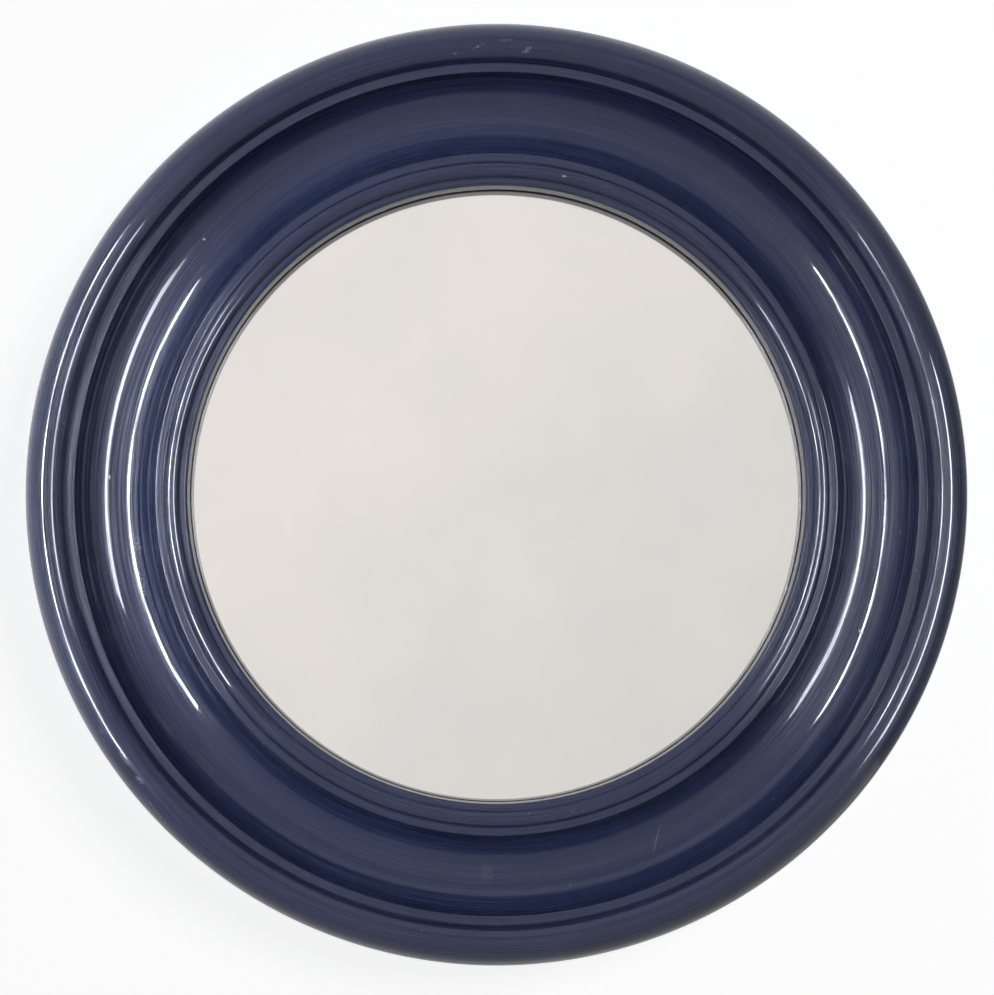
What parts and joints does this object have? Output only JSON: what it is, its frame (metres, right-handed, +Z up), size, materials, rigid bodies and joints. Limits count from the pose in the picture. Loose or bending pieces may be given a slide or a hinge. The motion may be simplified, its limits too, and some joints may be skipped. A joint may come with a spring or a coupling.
{
  "type": "wall mirror",
  "caption": "Round wall mirror in a glossy moulded plastic frame of beads, a step and a deep cove, its glass held from behind by turn buttons, hung by a keyhole plate.",
  "frame": {"origin": "on the wall plane, at the centre of the mirror's back, on the mirror's axis", "axes": "mirror faces -Y, +Y goes into the wall, +Z up, +X to the right as the front is seen"},
  "size_m": [0.52, 0.0465, 0.52],
  "materials": {
    "frame_plastic": "high gloss, dark navy",
    "clear_glass": "polished float glass",
    "silver": "silver film with grey back paint",
    "card": "plain grey-brown card",
    "hardboard": "smooth brown hardboard",
    "button_steel": "zinc plated, dulled",
    "plate_steel": "zinc plated, dulled",
    "screw_steel": "zinc plated"
  },
  "bodies": {
    "root": {"frame_moulding": "frame_plastic", "mirror_glass": "clear_glass", "silvering": "silver", "backing_card": "card", "back_board": "hardboard", "button_screws": "screw_steel", "hanger_plate": "plate_steel", "hanger_screws": "screw_steel"},
    "turn_button_1": {"turn_button_1": "button_steel"},
    "turn_button_2": {"turn_button_2": "button_steel"},
    "turn_button_3": {"turn_button_3": "button_steel"},
    "turn_button_4": {"turn_button_4": "button_steel"},
    "turn_button_5": {"turn_button_5": "button_steel"},
    "turn_button_6": {"turn_button_6": "button_steel"}
  },
  "joints": [
    {"name": "turn_button_1_pivot", "type": "hinge", "parent": "root", "child": "turn_button_1", "pos_m": [0.184, -0.0102, 0], "axis": [0, 1, 0], "continuous": true},
    {"name": "turn_button_2_pivot", "type": "hinge", "parent": "root", "child": "turn_button_2", "pos_m": [0.092, -0.0102, 0.15935], "axis": [0, 1, 0], "continuous": true},
    {"name": "turn_button_3_pivot", "type": "hinge", "parent": "root", "child": "turn_button_3", "pos_m": [-0.092, -0.0102, 0.15935], "axis": [0, 1, 0], "continuous": true},
    {"name": "turn_button_4_pivot", "type": "hinge", "parent": "root", "child": "turn_button_4", "pos_m": [-0.184, -0.0102, 0], "axis": [0, 1, 0], "continuous": true},
    {"name": "turn_button_5_pivot", "type": "hinge", "parent": "root", "child": "turn_button_5", "pos_m": [-0.092, -0.0102, -0.15935], "axis": [0, 1, 0], "continuous": true},
    {"name": "turn_button_6_pivot", "type": "hinge", "parent": "root", "child": "turn_button_6", "pos_m": [0.092, -0.0102, -0.15935], "axis": [0, 1, 0], "continuous": true}
  ]
}
